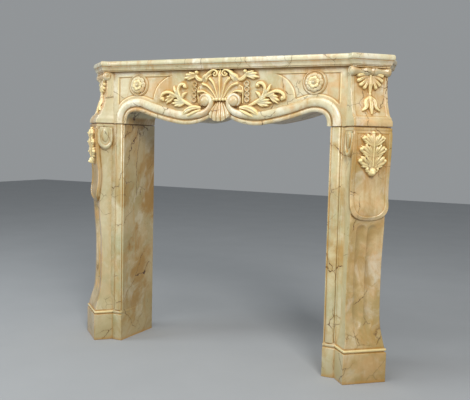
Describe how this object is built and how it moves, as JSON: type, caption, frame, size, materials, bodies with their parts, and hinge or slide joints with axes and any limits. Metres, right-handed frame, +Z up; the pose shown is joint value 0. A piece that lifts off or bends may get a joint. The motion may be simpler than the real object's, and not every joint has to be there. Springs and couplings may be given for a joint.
{
  "type": "fireplace mantel",
  "caption": "Fireplace surround with canted console legs, an arched header carved with a shell, leaf sprays and rosettes, and a moulded shelf, painted as veined stone.",
  "frame": {"origin": "on the floor, at the middle of the mantel's width and of its whole depth", "axes": "+X along the wall to the viewer's right, +Y from the room to the wall, +Z up"},
  "size_m": [1.2782, 0.2784, 1.1118],
  "materials": {
    "leg_left": "painted cast stone, satin, cream and tan with dark brown veins",
    "leg_right": "painted cast stone, satin, cream and tan with dark brown veins",
    "header": "painted cast stone, satin, pale cream with a gold-cream wash on the carving",
    "shelf": "painted cast stone, satin, pale cream with dark brown veins"
  },
  "bodies": {
    "root": {"leg_left": "leg_left", "leg_right": "leg_right", "header": "header", "shelf": "shelf"}
  },
  "joints": []
}
